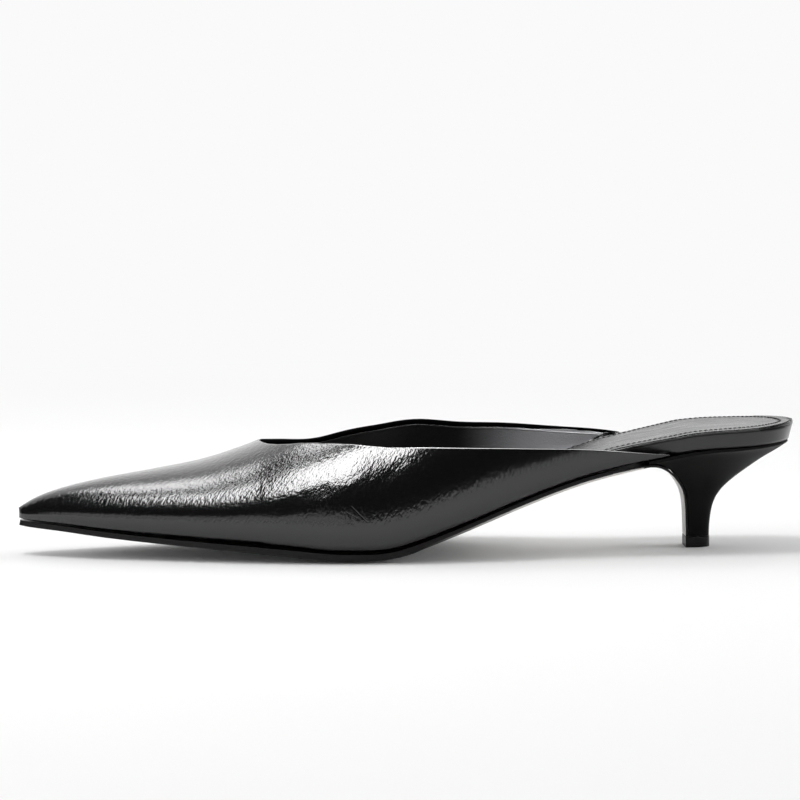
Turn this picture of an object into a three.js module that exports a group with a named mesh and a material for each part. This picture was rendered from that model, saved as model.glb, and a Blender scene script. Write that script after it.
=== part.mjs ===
// A left kitten heel mule: a pointed, backless upper with a slanting throat, on a waisted heel.
// Millimetres. X runs from the toe tip to the back of the heel, -Y is the outer side, +Z is up.
import * as THREE from 'three';

// Driving sizes of the last and the heel
const shoeLength = 265;
const ballWidth = 78;            // fullest width of the upper
const instepHeight = 54;         // tallest ridge of the last over the deck that it stands on
const vampLength = 82;           // toe tip to the point of the throat
const tailSetBack = 45;          // tails of the upper to the back of the heel
const upperLength = shoeLength - tailSetBack;
const toeSpring = 9;             // rise of the sole under the toe tip
const heelHeight = 36;           // floor to the heel seat
const seatLength = 37;           // rounded end of the seat
const ridgeLean = 3.5;           // how far the ridge stands towards the inner side

// Driving sizes of the pieces
const upperWall = 1.4;
const marginWidth = 12;          // lasting margin, turned in under the board
const tailWall = 0.6;            // leather skived thin at the ends of the tails
const skiveLength = 30;
const featherTuck = 1;           // how far the upper's foot stands in from the sole's edge
const outsoleThickness = 3;
const tongueThickness = 0.8;     // outsole where it lines the heel's breast
const soleCrown = 0.9;           // rise of the sole's lower edge beside its flat
const boardThickness = 2;        // board in the forepart
const seatBand = 6.3;            // board and its wrapped band at the seat
const bandLean = 1.6;            // how far the band's foot stands in at the seat
const browLength = 18;           // stretch over which the band's top edge spreads above the tails
const sockThickness = 0.9;
const sockEdge = 0.5;            // sock at its stitched edge
const sockBed = 0.7;             // shallow bed in the footbed for the sock
const sockInset = 1.1;
const sockStart = 30;            // toe tip to the front of the sock
const seatCup = 0.8;             // dip of the footbed's middle at the seat
const toePuff = 4.5;             // solid leather ahead of the hollow
const heelInset = 1.8;           // heel seat inside the band's outline
const wingLength = 52;           // back of the heel to the front of its wings
const tipLength = 7.4;
const tipWidth = 10.4;
const tipSetBack = 29;           // back of the seat to the back of the heel tip
const topPieceHeight = 3.6;
const topPieceRim = 0.15;        // top piece beyond the heel tip
const fit = 0.3;                 // clearance between pieces

// The tread's flat spot, as shares of shoeLength
const treadFrom = 0.4;
const treadTo = 0.46;
const waistEnd = 0.755;          // where the outsole turns down over the heel's breast

// The deck is the face that the last stands on: top of the outsole, then top of the heel.
// spring is a share of toeSpring, rise a share of the height from the ball's deck to the heel seat
const deckRows = [
  { at: 0.000, spring: 1.000, rise: 0 },
  { at: 0.053, spring: 0.861, rise: 0 },
  { at: 0.106, spring: 0.689, rise: 0 },
  { at: 0.208, spring: 0.450, rise: 0 },
  { at: 0.308, spring: 0.239, rise: 0 },
  { at: 0.358, spring: 0.122, rise: 0 },
  { at: treadFrom, spring: 0, rise: 0 },
  { at: treadTo, spring: 0, rise: 0 },
  { at: 0.483, spring: 0, rise: 0.033 },
  { at: 0.509, spring: 0, rise: 0.100 },
  { at: 0.560, spring: 0, rise: 0.248 },
  { at: 0.662, spring: 0, rise: 0.564 },
  { at: 0.714, spring: 0, rise: 0.706 },
  { at: 0.766, spring: 0, rise: 0.812 },
  { at: 0.825, spring: 0, rise: 0.906 },
  { at: 0.874, spring: 0, rise: 0.976 },
  { at: 0.938, spring: 0, rise: 0.997 },
  { at: 1.000, spring: 0, rise: 1.027 },
];

// Fullest outline seen from above: shares of ballWidth on the outer and the inner side.
// tuck is how far the feather edge stands in from it on each side, fullAt the height of the fullest
// point over the deck, both shares of ballWidth. ridge is the ridge's share of ridgeLean
const outlineRows = [
  { at: 0.000, outer: 0.000, inner: 0.000, outerTuck: 0.006, innerTuck: 0.006, fullAt: 0.020, ridge: 0 },
  { at: 0.006, outer: 0.038, inner: 0.038, outerTuck: 0.008, innerTuck: 0.008, fullAt: 0.022, ridge: 0 },
  { at: 0.038, outer: 0.112, inner: 0.108, outerTuck: 0.013, innerTuck: 0.013, fullAt: 0.036, ridge: 0 },
  { at: 0.094, outer: 0.203, inner: 0.191, outerTuck: 0.018, innerTuck: 0.018, fullAt: 0.055, ridge: 0.15 },
  { at: 0.170, outer: 0.300, inner: 0.285, outerTuck: 0.024, innerTuck: 0.023, fullAt: 0.075, ridge: 0.4 },
  { at: 0.264, outer: 0.405, inner: 0.400, outerTuck: 0.033, innerTuck: 0.029, fullAt: 0.095, ridge: 0.7 },
  { at: 0.358, outer: 0.487, inner: 0.470, outerTuck: 0.042, innerTuck: 0.035, fullAt: 0.112, ridge: 0.9 },
  { at: 0.426, outer: 0.522, inner: 0.478, outerTuck: 0.045, innerTuck: 0.038, fullAt: 0.122, ridge: 1 },
  { at: 0.491, outer: 0.513, inner: 0.452, outerTuck: 0.043, innerTuck: 0.044, fullAt: 0.130, ridge: 1 },
  { at: 0.566, outer: 0.468, inner: 0.402, outerTuck: 0.037, innerTuck: 0.052, fullAt: 0.132, ridge: 0.9 },
  { at: 0.660, outer: 0.398, inner: 0.335, outerTuck: 0.029, innerTuck: 0.053, fullAt: 0.110, ridge: 0.6 },
  { at: 0.755, outer: 0.352, inner: 0.312, outerTuck: 0.022, innerTuck: 0.036, fullAt: 0.080, ridge: 0.3 },
  { at: 0.830, outer: 0.337, inner: 0.315, outerTuck: 0.014, innerTuck: 0.018, fullAt: 0.060, ridge: 0 },
  { at: 0.862, outer: 0.334, inner: 0.318, outerTuck: 0.013, innerTuck: 0.013, fullAt: 0.060, ridge: 0 },
];

// The last's ridge over the deck, as a share of instepHeight
const ridgeRows = [
  { at: 0.000, height: 0.062 },
  { at: 0.008, height: 0.106 },
  { at: 0.023, height: 0.154 },
  { at: 0.053, height: 0.216 },
  { at: 0.113, height: 0.313 },
  { at: 0.177, height: 0.389 },
  { at: 0.238, height: 0.466 },
  { at: 0.272, height: 0.528 },
  { at: 0.309, height: 0.606 },
  { at: 0.377, height: 0.790 },
  { at: 0.438, height: 0.925 },
  { at: 0.506, height: 1.000 },
  { at: 0.604, height: 0.950 },
  { at: 0.717, height: 0.820 },
  { at: 0.830, height: 0.725 },
];

// Topline from the throat's point to the tails: shares of the last's height at each place
const toplineRows = [
  { along: 0.00, outer: 1.000, inner: 1.000 },
  { along: 0.02, outer: 0.962, inner: 0.935 },
  { along: 0.06, outer: 0.905, inner: 0.850 },
  { along: 0.11, outer: 0.860, inner: 0.765 },
  { along: 0.16, outer: 0.811, inner: 0.735 },
  { along: 0.26, outer: 0.712, inner: 0.720 },
  { along: 0.38, outer: 0.600, inner: 0.665 },
  { along: 0.51, outer: 0.482, inner: 0.535 },
  { along: 0.64, outer: 0.356, inner: 0.420 },
  { along: 0.77, outer: 0.235, inner: 0.290 },
  { along: 0.88, outer: 0.128, inner: 0.185 },
  { along: 1.00, outer: 0.014, inner: 0.025 },
];

// Thickness of the outsole, and how far the board's band has grown
const thicknessRows = [
  { at: 0.00, sole: 0.56, band: 0 },
  { at: 0.10, sole: 0.66, band: 0 },
  { at: 0.25, sole: 0.82, band: 0 },
  { at: treadFrom, sole: 1.00, band: 0 },
  { at: treadTo, sole: 1.00, band: 0 },
  { at: 0.56, sole: 0.92, band: 0.05 },
  { at: 0.66, sole: 0.85, band: 0.5 },
  { at: 0.75, sole: 0.80, band: 1 },
];

// Heel sections from the tip to the seat. Each column is a share of the way from tip to seat:
// up and out on the breast, up and out at the back, and the spread of the sides
const heelRows = [
  { breastUp: 0.000, breastOut: 0.000, backUp: 0.000, backOut: 0.000, spread: 0.000 },
  { breastUp: 0.150, breastOut: 0.006, backUp: 0.125, backOut: 0.007, spread: 0.000 },
  { breastUp: 0.330, breastOut: 0.016, backUp: 0.285, backOut: 0.035, spread: 0.020 },
  { breastUp: 0.490, breastOut: 0.045, backUp: 0.430, backOut: 0.108, spread: 0.075 },
  { breastUp: 0.615, breastOut: 0.121, backUp: 0.570, backOut: 0.270, spread: 0.205 },
  { breastUp: 0.741, breastOut: 0.268, backUp: 0.700, backOut: 0.485, spread: 0.410 },
  { breastUp: 0.852, breastOut: 0.459, backUp: 0.812, backOut: 0.680, spread: 0.630 },
  { breastUp: 0.932, breastOut: 0.682, backUp: 0.906, backOut: 0.874, spread: 0.820 },
  { breastUp: 0.960, breastOut: 0.873, backUp: 0.960, backOut: 0.966, spread: 0.950 },
  { breastUp: 0.965, breastOut: 1.000, backUp: 0.984, backOut: 1.000, spread: 1.000 },
  { breastUp: 1.000, breastOut: 1.000, backUp: 1.000, backOut: 0.990, spread: 1.000 },
];

// A smooth curve through one column of a table, that never overshoots its rows
function column(rows, name, key = 'at', bend = Math.sqrt) {
  const x = rows.map((row) => bend(row[key]));
  const y = rows.map((row) => row[name]);
  const slope = [];
  for (let i = 0; i < rows.length - 1; i += 1) slope.push((y[i + 1] - y[i]) / (x[i + 1] - x[i]));
  const tangent = [slope[0]];
  for (let i = 1; i < slope.length; i += 1) {
    const before = slope[i - 1];
    const after = slope[i];
    tangent.push(before * after <= 0 ? 0 : 2 / (1 / before + 1 / after));
  }
  tangent.push(slope[slope.length - 1]);
  return (value) => {
    const at = Math.min(Math.max(bend(value), x[0]), x[x.length - 1]);
    let i = 0;
    while (i < slope.length - 1 && at > x[i + 1]) i += 1;
    const span = x[i + 1] - x[i];
    const t = (at - x[i]) / span;
    const rise = (1 - t) * (1 - t) * (y[i] * (1 + 2 * t) + tangent[i] * span * t);
    return rise + t * t * (y[i + 1] * (3 - 2 * t) - tangent[i + 1] * span * (1 - t));
  };
}

const mix = (a, b, t) => a + (b - a) * t;
const steps = (from, to, count) => Array.from({ length: count + 1 }, (_, i) => mix(from, to, i / count));
const ease = (t) => {
  const clamped = Math.min(Math.max(t, 0), 1);
  return clamped * clamped * (3 - 2 * clamped);
};

// Shape of the last, from the tables
const plain = (value) => value;
const springShare = column(deckRows, 'spring');
const riseShare = column(deckRows, 'rise');
const ridgeShare = column(ridgeRows, 'height');
const soleShare = column(thicknessRows, 'sole');
const bandShare = column(thicknessRows, 'band');
const sides = {
  outer: { sign: -1, full: column(outlineRows, 'outer'), tuck: column(outlineRows, 'outerTuck'),
    topline: column(toplineRows, 'outer', 'along', plain) },
  inner: { sign: 1, full: column(outlineRows, 'inner'), tuck: column(outlineRows, 'innerTuck'),
    topline: column(toplineRows, 'inner', 'along', plain) },
};
const fullHeight = column(outlineRows, 'fullAt');
const leanShare = column(outlineRows, 'ridge');

const deck = (x) => outsoleThickness + springShare(x / shoeLength) * toeSpring
  + riseShare(x / shoeLength) * (heelHeight - outsoleThickness);
const fullWidth = (side, x) => side.full(x / shoeLength) * ballWidth;
const soleWidth = (side, x) => fullWidth(side, x) - side.tuck(x / shoeLength) * ballWidth;
const ridgeSide = (x) => leanShare(x / shoeLength) * ridgeLean;
const ridgeTop = (x) => deck(x) + ridgeShare(x / shoeLength) * instepHeight;
const behindThroat = (x) => Math.max(0, (x - vampLength) / (upperLength - vampLength));
const topline = (side, x) => mix(deck(x) + fit, ridgeTop(x), side.topline(behindThroat(x)));

// A closed body is gathered as quads, and each quad is laid as two triangles
class Body {
  constructor() {
    this.points = [];
    this.faces = [];
  }

  point(x, y, z) {
    this.points.push([x, y, z]);
    return this.points.length - 1;
  }

  quad(a, b, c, d) {
    this.faces.push([a, b, c], [a, c, d]);
  }

  // Walls between two loops of points that run the same way round
  bridge(first, second) {
    for (let i = 0; i < first.length; i += 1) {
      const next = (i + 1) % first.length;
      this.quad(first[i], first[next], second[next], second[i]);
    }
  }

  // Lid over a loop whose far half runs back beside its near half
  lid(loop, flip) {
    const half = loop.length / 2;
    for (let i = 0; i < half - 1; i += 1) {
      const corners = [loop[i], loop[i + 1], loop[loop.length - 2 - i], loop[loop.length - 1 - i]];
      if (flip) corners.reverse();
      this.quad(...corners);
    }
  }

  // Six times the volume, below zero when the faces point inwards
  volume() {
    const corner = (index) => new THREE.Vector3(...this.points[index]);
    return this.faces.reduce((sum, [a, b, c]) => sum + corner(a).dot(corner(b).cross(corner(c))), 0);
  }

  mesh(name, colour, roughness) {
    if (this.volume() < 0) this.faces.forEach((face) => face.reverse());
    const geometry = new THREE.BufferGeometry();
    geometry.setAttribute('position', new THREE.Float32BufferAttribute(this.points.flat(), 3));
    geometry.setIndex(this.faces.flat());
    geometry.computeVertexNormals();
    const material = new THREE.MeshStandardMaterial({ color: colour, roughness, metalness: 0 });
    const mesh = new THREE.Mesh(geometry, material);
    mesh.name = name;
    return mesh;
  }
}

// Half a section of the last from the feather edge up to the ridge, as y and z
const rollSteps = 8;
const domeSteps = 40;
function lastSection(side, x) {
  const foot = soleWidth(side, x) - Math.min(featherTuck, soleWidth(side, x) / 3);
  const full = fullWidth(side, x);
  const floor = deck(x) + fit;
  const top = ridgeTop(x);
  const fullest = floor + Math.min(fullHeight(x / shoeLength) * ballWidth, (top - floor) / 2);
  const centre = ridgeSide(x) * side.sign;
  const points = [];
  for (const turn of steps(0, Math.PI / 2, rollSteps)) {
    points.push([mix(foot, full, Math.sin(turn)), mix(fullest, floor, Math.cos(turn))]);
  }
  for (const turn of steps(0, Math.PI / 2, domeSteps).slice(1)) {
    points.push([mix(centre, full, Math.cos(turn)), mix(fullest, top, Math.sin(turn))]);
  }
  return points;
}

// The section up to the topline, in even steps
const wallSteps = 14;
function wallSection(side, x) {
  const points = lastSection(side, x);
  const cut = topline(side, x);
  const kept = [points[0]];
  for (let i = 1; i < points.length; i += 1) {
    const [beforeY, beforeZ] = points[i - 1];
    const [y, z] = points[i];
    if (z >= cut && x > vampLength) {
      const t = (cut - beforeZ) / (z - beforeZ);
      kept.push([mix(beforeY, y, t), cut]);
      break;
    }
    kept.push([y, z]);
  }
  const reach = [0];
  for (let i = 1; i < kept.length; i += 1) {
    reach.push(reach[i - 1] + Math.hypot(kept[i][0] - kept[i - 1][0], kept[i][1] - kept[i - 1][1]));
  }
  const total = reach[reach.length - 1];
  return steps(0, 1, wallSteps).map((share) => {
    let i = 1;
    while (i < kept.length - 1 && reach[i] < share * total) i += 1;
    const t = (share * total - reach[i - 1]) / (reach[i] - reach[i - 1]);
    const [beforeY, beforeZ] = kept[i - 1];
    const [y, z] = kept[i];
    return new THREE.Vector3(x, side.sign * mix(beforeY, y, t), mix(beforeZ, z, t));
  });
}

// Near the nose the upper's foot draws back under it, in its two lowest rows of points
const noseReach = 16;
const noseDraw = (x, row) => featherTuck * Math.max(0, 1 - x / noseReach) ** 2 * Math.max(0, 1 - row / 2);

// Thickness of the leather, skived towards the ends of the tails
const wallAt = (x) => mix(upperWall, tailWall, ease((x - upperLength + skiveLength) / skiveLength));

// One half of the upper at a station: outer face, inner face and lasting margin as one loop
const slopeReach = 0.05;
function upperLoop(body, side, x, shared) {
  const puffReach = 3 * toePuff;
  const inside = x + toePuff * Math.max(0, 1 - x / puffReach) ** 2;
  const wall = wallAt(inside);
  const face = wallSection(side, x);
  const here = wallSection(side, inside);
  const ahead = wallSection(side, inside + slopeReach);
  const outer = [];
  const inner = [];
  for (let k = 0; k <= wallSteps; k += 1) {
    const top = k === wallSteps;
    const along = new THREE.Vector3().subVectors(ahead[k], here[k]);
    const up = new THREE.Vector3().subVectors(here[Math.min(k + 1, wallSteps)], here[Math.max(k - 1, 0)]);
    if (k === 0) up.set(0, side.sign, 0);
    if (top && x <= vampLength) up.set(0, -side.sign, 0);
    const normal = along.cross(up).normalize().multiplyScalar(wall * side.sign);
    if (k === 0) normal.set(0, 0, wall);
    const point = here[k].clone().add(normal);
    if (shared && top) {
      outer.push(shared.outer);
      inner.push(shared.inner);
    } else {
      outer.push(body.point(face[k].x + noseDraw(x, k), face[k].y, face[k].z));
      inner.push(body.point(point.x, point.y, point.z));
    }
  }
  const foot = Math.abs(here[0].y);
  const edge = side.sign * (foot - Math.min(marginWidth, foot / 2));
  const floor = deck(inside) + fit;
  const marginTop = body.point(inside, edge, floor + wall);
  const marginFoot = body.point(inside, edge, floor);
  return { outer, inner, margin: [marginTop, marginFoot] };
}

const closed = (half) => [...half.outer, ...[...half.inner].reverse(), ...half.margin];

// Upper: one leather shell, closed over the vamp and open at the throat, the back and underneath
function upper() {
  const body = new Body();
  const front = [0.004, 0.014, 0.03, 0.055, 0.09, 0.135, 0.19, 0.25, 0.31, 0.375, 0.44, 0.505, 0.57,
    0.635, 0.7, 0.765, 0.825, 0.88, 0.93, 0.97, 1].map((share) => share * vampLength);
  const back = [0.006, 0.02, 0.042, 0.072, 0.11, 0.155, 0.205, 0.255, 0.305, 0.355, 0.405, 0.455, 0.505,
    0.555, 0.605, 0.655, 0.705, 0.755, 0.805, 0.855, 0.9, 0.94, 0.972, 1]
    .map((share) => mix(vampLength, upperLength, share));
  const ribs = [];
  for (const x of [...front, ...back]) {
    const outerHalf = upperLoop(body, sides.outer, x, null);
    const overVamp = x <= vampLength;
    const shared = overVamp ? { outer: outerHalf.outer[wallSteps], inner: outerHalf.inner[wallSteps] } : null;
    const innerHalf = upperLoop(body, sides.inner, x, shared);
    ribs.push({ outerHalf, innerHalf, overVamp });
  }

  // Leather between one rib and the next
  for (let i = 0; i < ribs.length - 1; i += 1) {
    const open = !ribs[i + 1].overVamp;
    for (const name of ['outerHalf', 'innerHalf']) {
      const near = closed(ribs[i][name]);
      const far = closed(ribs[i + 1][name]);
      for (let k = 0; k < near.length; k += 1) {
        const next = (k + 1) % near.length;
        if (k === wallSteps && !open) continue;
        if (name === 'outerHalf') body.quad(near[k], near[next], far[next], far[k]);
        else body.quad(near[next], near[k], far[k], far[next]);
      }
    }
  }

  // Ends of the two tails
  const last = ribs[ribs.length - 1];
  body.lid(closed(last.outerHalf), false);
  body.lid(closed(last.innerHalf), true);

  // Nose: a middle line joins the two sides, and one quad closes it at the ridge
  const first = ribs[0];
  const liningAhead = upperWall / 4;
  const setAhead = (index) => {
    const [x, , z] = body.points[index];
    return body.point(x - liningAhead, 0, z);
  };
  const middle = {
    outer: first.outerHalf.outer.map((index, row) => body.point(noseDraw(0, row), 0, body.points[index][2])),
    inner: first.outerHalf.inner.map(setAhead),
    margin: first.outerHalf.margin.map(setAhead),
  };
  const belowRidge = (half) => closed({
    outer: half.outer.slice(0, wallSteps),
    inner: half.inner.slice(0, wallSteps),
    margin: half.margin,
  });
  const strip = belowRidge(middle);
  const outerSide = belowRidge(first.outerHalf);
  const innerSide = belowRidge(first.innerHalf);
  const top = wallSteps - 1;
  for (let k = 0; k < strip.length; k += 1) {
    const next = (k + 1) % strip.length;
    if (k === top) continue;
    body.quad(strip[k], strip[next], outerSide[next], outerSide[k]);
    body.quad(strip[next], strip[k], innerSide[k], innerSide[next]);
  }
  const ridge = first.outerHalf;
  body.quad(ridge.outer[top], strip[top], first.innerHalf.outer[top], ridge.outer[wallSteps]);
  body.quad(first.innerHalf.inner[top], strip[top + 1], ridge.inner[top], ridge.inner[wallSteps]);
  return body.mesh('upper', 0x0b0b0c, 0.25);
}

// Breast of the heel: the curve that the outsole's tongue follows down to the tip
const tipBack = shoeLength - tipSetBack;
const tipFront = tipBack - tipLength;
const wingFront = shoeLength - wingLength;
const tipTop = topPieceHeight + fit;
const tipRound = 0.8;            // below 1 the tip's back is squarer than a half circle
const tipFull = 0.7;
const heelLevels = 20;
const heelColumn = (name) => {
  const rows = heelRows.map((row, i) => ({ level: i / (heelRows.length - 1), value: row[name] }));
  return column(rows, 'value', 'level', plain);
};
const breastUp = heelColumn('breastUp');
const breastOut = heelColumn('breastOut');
const backUp = heelColumn('backUp');
const backOut = heelColumn('backOut');
const spread = heelColumn('spread');

// Outline of the seat: straight sides that meet in a rounded back, as turn goes from 0 to a right angle
const seatFront = shoeLength - seatLength;
const seatFullness = 0.75;
function seatEnd(side, turn, inset) {
  const x = seatFront + (seatLength - inset) * Math.sin(turn) ** seatFullness;
  const y = side.sign * (fullWidth(side, seatFront) - inset) * Math.max(Math.cos(turn), 0);
  return [x, y];
}

// Waisted heel: its breast, sides and back flare from the tip to the seat
const breastSteps = 8;
const sideSteps = 15;
function heelRing(level) {
  const wingShare = Math.max(0, seatFront - wingFront) / wingLength;
  const seatWidth = (side) => side.sign * (fullWidth(side, wingFront) - heelInset);
  const place = (tip, seat, turn) => {
    const up = mix(breastUp(level), backUp(level), turn);
    const out = mix(breastOut(level), backOut(level), turn);
    return [mix(tip[0], seat[0], out), mix(tip[1], seat[1], spread(level)), mix(tipTop, seat[2], up)];
  };
  const half = (side) => steps(0, 1, sideSteps).map((share) => {
    const turn = share * (Math.PI / 2);
    const seatTurn = (Math.max(0, (share - wingShare) / (1 - wingShare)) * Math.PI) / 2;
    let seat = seatEnd(side, seatTurn, heelInset);
    if (share < wingShare) seat = [mix(wingFront, seatFront, share / wingShare), seatWidth(side)];
    const tipX = tipFront + tipLength * Math.sin(turn) ** tipRound;
    const tipY = (side.sign * tipWidth / 2) * Math.max(Math.cos(turn), 0) ** tipFull;
    return place([tipX, tipY], [...seat, deck(seat[0])], ease(share));
  });
  const outerHalf = half(sides.outer);
  const innerHalf = half(sides.inner).reverse();
  const ring = [...outerHalf, ...innerHalf.slice(1)];
  const from = innerHalf[innerHalf.length - 1];
  const to = outerHalf[0];
  for (const share of steps(0, 1, breastSteps).slice(1, -1)) {
    ring.push([from[0], mix(from[1], to[1], share), mix(from[2], to[2], share)]);
  }
  return ring;
}

function heel() {
  const body = new Body();
  const rings = steps(0, 1, heelLevels).map((level) => heelRing(level).map((point) => body.point(...point)));
  for (let i = 0; i < rings.length - 1; i += 1) body.bridge(rings[i], rings[i + 1]);
  closeRing(body, rings[0], true);
  closeRing(body, rings[rings.length - 1], false);
  return body.mesh('heel', 0x121212, 0.6);
}

// Lid across a heel ring, whose sides face each other and whose breast lies between their ends
function closeRing(body, ring, flip) {
  const outerSide = ring.slice(0, sideSteps + 1);
  const innerSide = ring.slice(sideSteps, 2 * sideSteps + 1).reverse();
  const lay = (a, b, c, d) => (flip ? body.quad(d, c, b, a) : body.quad(a, b, c, d));
  const rowAt = (i) => steps(0, 1, breastSteps).map((share) => {
    if (share === 0) return outerSide[i];
    if (share === 1) return innerSide[i];
    if (i === 0) return ring[ring.length - Math.round(share * breastSteps)];
    const [ax, ay, az] = body.points[outerSide[i]];
    const [bx, by, bz] = body.points[innerSide[i]];
    return body.point(mix(ax, bx, share), mix(ay, by, share), mix(az, bz, share));
  });
  const rows = steps(0, sideSteps - 1, sideSteps - 1).map(rowAt);
  for (let i = 0; i < rows.length - 1; i += 1) {
    const [near, far] = [rows[i], rows[i + 1]];
    for (let j = 0; j < breastSteps; j += 1) lay(near[j], far[j], far[j + 1], near[j + 1]);
  }
  const back = outerSide[sideSteps];
  const lastRow = rows[rows.length - 1];
  for (let j = 0; j < breastSteps; j += 1) {
    const corners = [lastRow[j], back, lastRow[j + 1]];
    body.faces.push(flip ? corners.reverse() : corners);
  }
}

// Outsole: runs along the deck, then turns down over the breast of the heel
const soleAcross = [-1, -0.94, -0.75, -0.5, 0, 0.5, 0.75, 0.94, 1];
const flatHalf = 0.5;            // middle share of the sole's width that stays flat
const breastTop = 0.9;           // level of the heel where the tongue starts
function outsole() {
  const body = new Body();
  const front = [0.005, 0.02, 0.047, 0.094, 0.16, 0.236, 0.33, 0.434, 0.547, 0.66, 0.774, 0.887]
    .map((share) => share * treadFrom);
  const back = [0.077, 0.154, 0.244, 0.346, 0.462, 0.59, 0.718, 0.859, 1]
    .map((share) => mix(treadTo, waistEnd, share));
  const tread = [treadFrom, (treadFrom + treadTo) / 2, treadTo];
  const path = [...front, ...tread, ...back].map((share) => {
    const x = share * shoeLength;
    const slope = (deck(x + slopeReach) - deck(x - slopeReach)) / (2 * slopeReach);
    return { x, z: deck(x), outer: soleWidth(sides.outer, x), inner: soleWidth(sides.inner, x),
      thick: soleShare(share) * outsoleThickness, slope };
  });
  const seatWidth = (side) => fullWidth(side, wingFront) - heelInset;
  for (const level of steps(breastTop, 0, 16)) {
    const reach = spread(level);
    path.push({
      x: mix(tipFront, wingFront, breastOut(level)),
      z: mix(tipTop, deck(wingFront), breastUp(level)),
      outer: mix(tipWidth / 2, seatWidth(sides.outer), reach),
      inner: mix(tipWidth / 2, seatWidth(sides.inner), reach),
      thick: tongueThickness,
      breast: true,
    });
  }
  const loops = path.map((stop, i) => {
    const before = path[Math.max(i - 1, 0)];
    const after = path[Math.min(i + 1, path.length - 1)];
    const run = stop.breast ? after.x - before.x : 1;
    const climb = stop.breast ? after.z - before.z : stop.slope;
    const reach = Math.hypot(run, climb);
    const normal = [climb / reach, -run / reach];
    const gap = stop.breast ? fit : 0;
    const place = (share, depth) => {
      const y = share < 0 ? share * stop.outer : share * stop.inner;
      return body.point(stop.x + normal[0] * depth, y, stop.z + normal[1] * depth);
    };
    const wide = ((stop.outer + stop.inner) / ballWidth) ** 2;
    const top = soleAcross.map((share) => place(share, gap));
    const under = [...soleAcross].reverse().map((share) => {
      const crown = soleCrown * wide * ease((Math.abs(share) - flatHalf) / (1 - flatHalf));
      return place(share, gap + stop.thick - (stop.breast ? 0 : crown));
    });
    return [...top, ...under];
  });
  for (let i = 0; i < loops.length - 1; i += 1) body.bridge(loops[i], loops[i + 1]);
  body.lid(loops[0], true);
  body.lid(loops[loops.length - 1], false);
  return body.mesh('outsole', 0x1a1a1a, 0.35);
}

// Stations along the board and the sock, with the outline of the bed at each, set in by a given amount.
// The bed lies inside the upper's wall, and spreads over its tails to the full outline of the seat
const insideWall = (side, x) => soleWidth(side, x) - featherTuck - wallAt(x) - fit;
const spreadFrom = upperLength - browLength;
const bedWidth = (side, x) => mix(insideWall(side, x), fullWidth(side, x),
  ease((x - spreadFrom) / (seatFront - spreadFrom)));
function bedStations(from, inset) {
  const list = [];
  const tail = upperLength + fit;
  const inVamp = [0.039, 0.052, 0.075, 0.107, 0.145, 0.19, 0.24, 0.295, 0.358, 0.422, 0.485, 0.535, 0.58,
    0.626, 0.672, 0.717, 0.762, 0.808, 0.853, 0.89, 0.918, 0.945, 0.972, 1].map((share) => share * tail);
  const behindTails = [0.3, 0.65].map((share) => mix(tail, seatFront, share));
  for (const x of [from, ...inVamp.filter((stop) => stop > from), ...behindTails]) {
    list.push({ x, outer: bedWidth(sides.outer, x) - inset, inner: bedWidth(sides.inner, x) - inset });
  }
  for (const turn of steps(0, Math.PI / 2, 12).slice(0, -1)) {
    const [x, y] = seatEnd(sides.inner, turn, inset);
    list.push({ x, outer: Math.abs(seatEnd(sides.outer, turn, inset)[1]), inner: y, turn });
  }
  const final = list[list.length - 1];
  const shy = 0.35;
  list.push({ x: shoeLength - inset, outer: final.outer * shy, inner: final.inner * shy, turn: Math.PI / 2 });
  return list;
}

// Height of the footbed over the floor, level with the band's top edge
const thinBoard = fit + upperWall + boardThickness;
const bedTop = (x) => deck(x) + fit + mix(thinBoard, seatBand, bandShare(x / shoeLength));

// Face under the sock, from one edge of its bed to the other, widened by the given margin
const bedAcross = [-1, -0.8, -0.45, 0, 0.45, 0.8, 1];
function bedSection(x, outer, inner, margin) {
  const dip = seatCup * bandShare(x / shoeLength);
  const sunk = sockBed * ease((x - sockStart + sockInset) / sockInset);
  return bedAcross.map((share) => {
    const half = (share < 0 ? outer : inner) - sockInset - margin;
    return [share * half, bedTop(x) - sunk - dip * (1 - share * share)];
  });
}

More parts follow.
